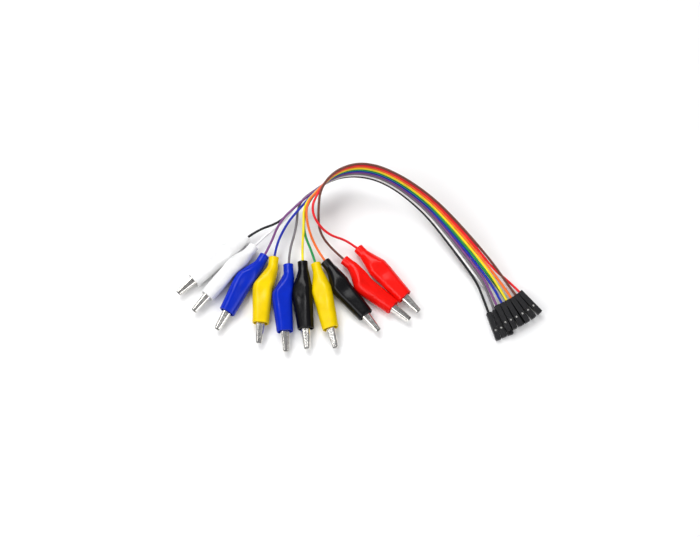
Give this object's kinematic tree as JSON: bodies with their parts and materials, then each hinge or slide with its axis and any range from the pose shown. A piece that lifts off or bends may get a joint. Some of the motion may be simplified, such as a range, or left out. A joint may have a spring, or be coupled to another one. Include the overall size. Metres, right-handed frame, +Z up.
{
  "type": "alligator clip lead",
  "caption": "Ribbon test lead with insulated miniature alligator clips on one end and single-pin 2.54 mm socket housings on the other.",
  "frame": {"origin": "on the surface that the lead lies on, under the middle of the box around the clips and housings", "axes": "+Z up; +X from the clips towards the socket housings; +Y towards the arch of the ribbon; -Y is the way the clips point"},
  "size_m": [0.175, 0.0896, 0.0227],
  "materials": {
    "boot_white": "glossy soft PVC",
    "boot_blue": "glossy soft PVC",
    "boot_yellow": "glossy soft PVC",
    "boot_black": "glossy soft PVC",
    "boot_red": "glossy soft PVC",
    "insulation_brown": "satin PVC insulation",
    "insulation_red": "satin PVC insulation",
    "insulation_orange": "satin PVC insulation",
    "insulation_yellow": "satin PVC insulation",
    "insulation_green": "satin PVC insulation",
    "insulation_blue": "satin PVC insulation",
    "insulation_purple": "satin PVC insulation",
    "insulation_grey": "satin PVC insulation",
    "insulation_white": "satin PVC insulation",
    "insulation_black": "satin PVC insulation",
    "nickel_plate": "bright nickel-plated sheet steel",
    "spring_steel": "drawn spring wire",
    "copper_strand": "stranded copper",
    "tin_plate": "tin-plated phosphor bronze",
    "housing_black": "satin moulded nylon"
  },
  "bodies": {
    "lead": {"boot_01_white": "boot_white", "crimped_jaw_01": "nickel_plate", "boot_02_white": "boot_white", "crimped_jaw_02": "nickel_plate", "boot_03_blue": "boot_blue", "crimped_jaw_03": "nickel_plate", "boot_04_yellow": "boot_yellow", "crimped_jaw_04": "nickel_plate", "boot_05_blue": "boot_blue", "crimped_jaw_05": "nickel_plate", "boot_06_black": "boot_black", "crimped_jaw_06": "nickel_plate", "boot_07_yellow": "boot_yellow", "crimped_jaw_07": "nickel_plate", "boot_08_black": "boot_black", "crimped_jaw_08": "nickel_plate", "boot_09_red": "boot_red", "crimped_jaw_09": "nickel_plate", "boot_10_red": "boot_red", "crimped_jaw_10": "nickel_plate", "housing_01": "housing_black", "housing_02": "housing_black", "housing_03": "housing_black", "housing_04": "housing_black", "housing_05": "housing_black", "housing_06": "housing_black", "housing_07": "housing_black", "housing_08": "housing_black", "housing_09": "housing_black", "housing_10": "housing_black", "pivot_pins": "nickel_plate", "torsion_springs": "spring_steel", "clip_conductors": "copper_strand", "socket_terminals": "tin_plate", "socket_conductors": "copper_strand", "wire_brown": "insulation_brown", "wire_red": "insulation_red", "wire_orange": "insulation_orange", "wire_yellow": "insulation_yellow", "wire_green": "insulation_green", "wire_blue": "insulation_blue", "wire_purple": "insulation_purple", "wire_grey": "insulation_grey", "wire_white": "insulation_white", "wire_black": "insulation_black"},
    "moving_jaw_01": {"moving_jaw_01": "nickel_plate"},
    "moving_jaw_02": {"moving_jaw_02": "nickel_plate"},
    "moving_jaw_03": {"moving_jaw_03": "nickel_plate"},
    "moving_jaw_04": {"moving_jaw_04": "nickel_plate"},
    "moving_jaw_05": {"moving_jaw_05": "nickel_plate"},
    "moving_jaw_06": {"moving_jaw_06": "nickel_plate"},
    "moving_jaw_07": {"moving_jaw_07": "nickel_plate"},
    "moving_jaw_08": {"moving_jaw_08": "nickel_plate"},
    "moving_jaw_09": {"moving_jaw_09": "nickel_plate"},
    "moving_jaw_10": {"moving_jaw_10": "nickel_plate"}
  },
  "joints": [
    {"name": "jaw_pivot_01", "type": "hinge", "parent": "lead", "child": "moving_jaw_01", "pos_m": [-0.0747, 0.0107, 0.00371], "axis": [-0.1031, 0.1413, -0.9846], "range_deg": [0, 24], "stiffness_Nm_per_rad": 0.03, "springref_deg": -40.11, "deforming": ["boot_01_white", "torsion_springs"]},
    {"name": "jaw_pivot_02", "type": "hinge", "parent": "lead", "child": "moving_jaw_02", "pos_m": [-0.0685, 0.0033, 0.00392], "axis": [-0.7679, 0.6165, 0.1736], "range_deg": [0, 24], "stiffness_Nm_per_rad": 0.03, "springref_deg": -40.11, "deforming": ["boot_02_white", "torsion_springs"]},
    {"name": "jaw_pivot_03", "type": "hinge", "parent": "lead", "child": "moving_jaw_03", "pos_m": [-0.0599, -0.004, 0.0037], "axis": [-0.2941, 0.1754, -0.9395], "range_deg": [0, 24], "stiffness_Nm_per_rad": 0.03, "springref_deg": -40.11, "deforming": ["boot_03_blue", "torsion_springs"]},
    {"name": "jaw_pivot_04", "type": "hinge", "parent": "lead", "child": "moving_jaw_04", "pos_m": [-0.0465, -0.0088, 0.00373], "axis": [-0.0853, 0.0298, -0.9959], "range_deg": [0, 24], "stiffness_Nm_per_rad": 0.03, "springref_deg": -40.11, "deforming": ["boot_04_yellow", "torsion_springs"]},
    {"name": "jaw_pivot_05", "type": "hinge", "parent": "lead", "child": "moving_jaw_05", "pos_m": [-0.0358, -0.0129, 0.0037], "axis": [-0.2595, 0.0028, -0.9657], "range_deg": [0, 24], "stiffness_Nm_per_rad": 0.03, "springref_deg": -40.11, "deforming": ["boot_05_blue", "torsion_springs"]},
    {"name": "jaw_pivot_06", "type": "hinge", "parent": "lead", "child": "moving_jaw_06", "pos_m": [-0.026, -0.0115, 0.00386], "axis": [0.2549, 0.06, -0.9651], "range_deg": [0, 24], "stiffness_Nm_per_rad": 0.03, "springref_deg": -40.11, "deforming": ["boot_06_black", "torsion_springs"]},
    {"name": "jaw_pivot_07", "type": "hinge", "parent": "lead", "child": "moving_jaw_07", "pos_m": [-0.0156, -0.0116, 0.0037], "axis": [-0.2452, -0.0849, 0.9657], "range_deg": [0, 24], "stiffness_Nm_per_rad": 0.03, "springref_deg": -40.11, "deforming": ["boot_07_yellow", "torsion_springs"]},
    {"name": "jaw_pivot_08", "type": "hinge", "parent": "lead", "child": "moving_jaw_08", "pos_m": [-0.0014, -0.0063, 0.00375], "axis": [-0.0168, 0.0215, -0.9996], "range_deg": [0, 24], "stiffness_Nm_per_rad": 0.03, "springref_deg": -40.11, "deforming": ["boot_08_black", "torsion_springs"]},
    {"name": "jaw_pivot_09", "type": "hinge", "parent": "lead", "child": "moving_jaw_09", "pos_m": [0.01065, -0.0033, 0.0037], "axis": [-0.2327, -0.2512, -0.9395], "range_deg": [0, 24], "stiffness_Nm_per_rad": 0.03, "springref_deg": -40.11, "deforming": ["boot_09_red", "torsion_springs"]},
    {"name": "jaw_pivot_10", "type": "hinge", "parent": "lead", "child": "moving_jaw_10", "pos_m": [0.0169, 0.0024, 0.00371], "axis": [-0.1127, -0.1337, 0.9846], "range_deg": [0, 24], "stiffness_Nm_per_rad": 0.03, "springref_deg": -40.11, "deforming": ["boot_10_red", "torsion_springs"]}
  ]
}
